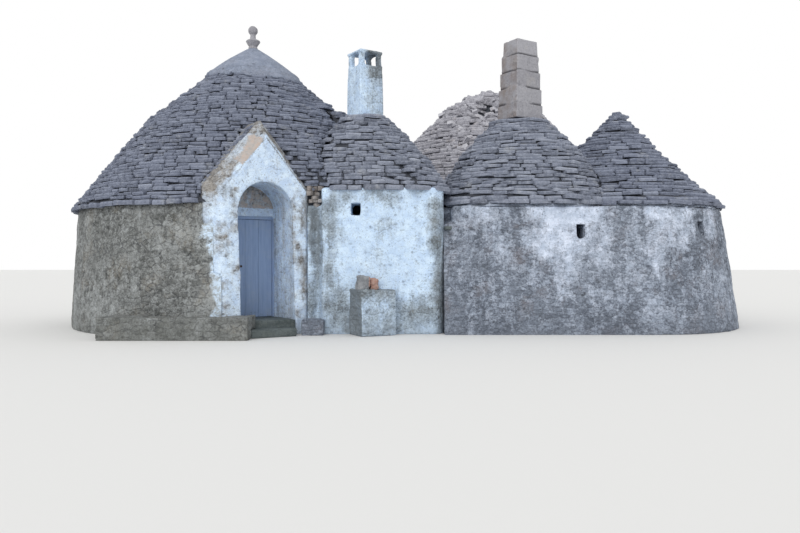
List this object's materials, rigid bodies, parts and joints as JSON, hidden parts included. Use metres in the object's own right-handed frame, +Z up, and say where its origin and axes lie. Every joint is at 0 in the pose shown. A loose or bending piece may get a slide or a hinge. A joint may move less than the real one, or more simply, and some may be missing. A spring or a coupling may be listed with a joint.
{
  "type": "trullo house",
  "caption": "Stone house of joined round rooms under corbelled cone roofs, with a gabled porch, a plank door and chimneys.",
  "frame": {"origin": "on the ground, straight under the tip of the tallest cone", "axes": "+X right along the front, +Y away from the front, +Z up"},
  "size_m": [15.85, 11.45, 7.16],
  "materials": {
    "rubble": "rough",
    "roof_slabs": "rough",
    "dressed_stone": "rough",
    "plaster": "limewashed",
    "blue_wood": "painted",
    "iron": "rusted"
  },
  "bodies": {
    "door": {"door_planks": "blue_wood", "door_ledges": "blue_wood", "door_straps": "iron"},
    "house": {"alcove_wall": "rubble", "bench": "rubble", "block_rubble": "rubble", "cross_wall": "rubble", "door_frame": "blue_wood", "door_pintles": "iron", "doorway_wall": "rubble", "end_cone": "roof_slabs", "finial": "dressed_stone", "grey_front_wall_left": "rubble", "grey_front_wall_right": "rubble", "grey_rear_wall": "rubble", "grey_side_wall": "rubble", "hearth_cone": "roof_slabs", "inner_lintel": "rubble", "kerb_stone": "dressed_stone", "kitchen_cone": "roof_slabs", "kitchen_wall": "rubble", "lantern_slab": "plaster", "left_front_wall": "rubble", "left_rear_wall": "rubble", "lintel": "dressed_stone", "main_cap": "plaster", "main_cone": "roof_slabs", "main_rear_wall": "rubble", "middle_wall": "rubble", "mounting_block": "rubble", "porch_gable": "plaster", "porch_left_jamb": "plaster", "porch_right_jamb": "plaster", "porch_vault": "roof_slabs", "rear_wall_left": "rubble", "rear_wall_middle": "rubble", "rear_wall_right": "rubble", "ruined_cone": "roof_slabs", "saddle": "roof_slabs", "spout_stone": "dressed_stone", "step": "dressed_stone", "stone_chimney": "dressed_stone", "stone_floor": "dressed_stone", "threshold": "dressed_stone", "white_chimney": "plaster", "white_wall": "plaster"}
  },
  "joints": [
    {"name": "door_hinge", "type": "hinge", "parent": "house", "child": "door", "pos_m": [0.81822, -2.27835, 0.7], "axis": [0, 0, -1], "range_deg": [0, 95]}
  ]
}
